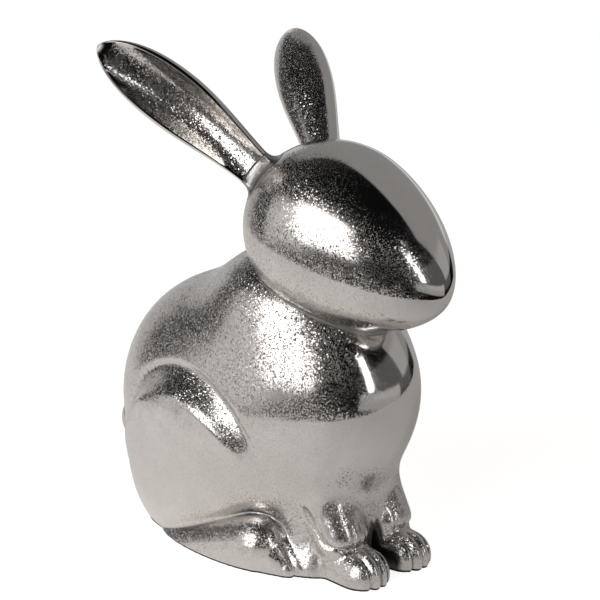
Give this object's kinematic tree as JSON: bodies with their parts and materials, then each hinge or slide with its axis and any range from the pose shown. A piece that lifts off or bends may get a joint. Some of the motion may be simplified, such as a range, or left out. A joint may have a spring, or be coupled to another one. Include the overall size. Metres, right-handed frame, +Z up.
{
  "type": "sitting rabbit figurine",
  "caption": "Sitting rabbit ornament of hollow plated castings: smooth egg-shaped head, raised dished ears, rounded body with grooved toes, felt-lined base that rests on a table or shelf.",
  "frame": {"origin": "on the surface that the rabbit rests on, in its middle plane, under the front of the haunches", "axes": "+Z up, -Y the way that the rabbit faces, +X towards the rabbit's own left side"},
  "size_m": [0.1162, 0.1948, 0.223],
  "materials": {
    "plated_casting": "nickel-plated sand casting, polished on the high places and finely pitted elsewhere",
    "weld_bead": "ground and plated weld fillet, duller than the castings",
    "base_plate": "plain sheet, hidden above the felt",
    "screws": "zinc-plated countersunk screws",
    "felt": "black felt sheet"
  },
  "bodies": {
    "root": {"body_shell": "plated_casting", "head_shell": "plated_casting", "left_ear": "plated_casting", "right_ear": "plated_casting", "tail": "plated_casting", "neck_weld_ring": "weld_bead", "left_ear_weld": "weld_bead", "right_ear_weld": "weld_bead", "base_plate": "base_plate", "base_screws": "screws", "felt_pad": "felt"}
  },
  "joints": []
}
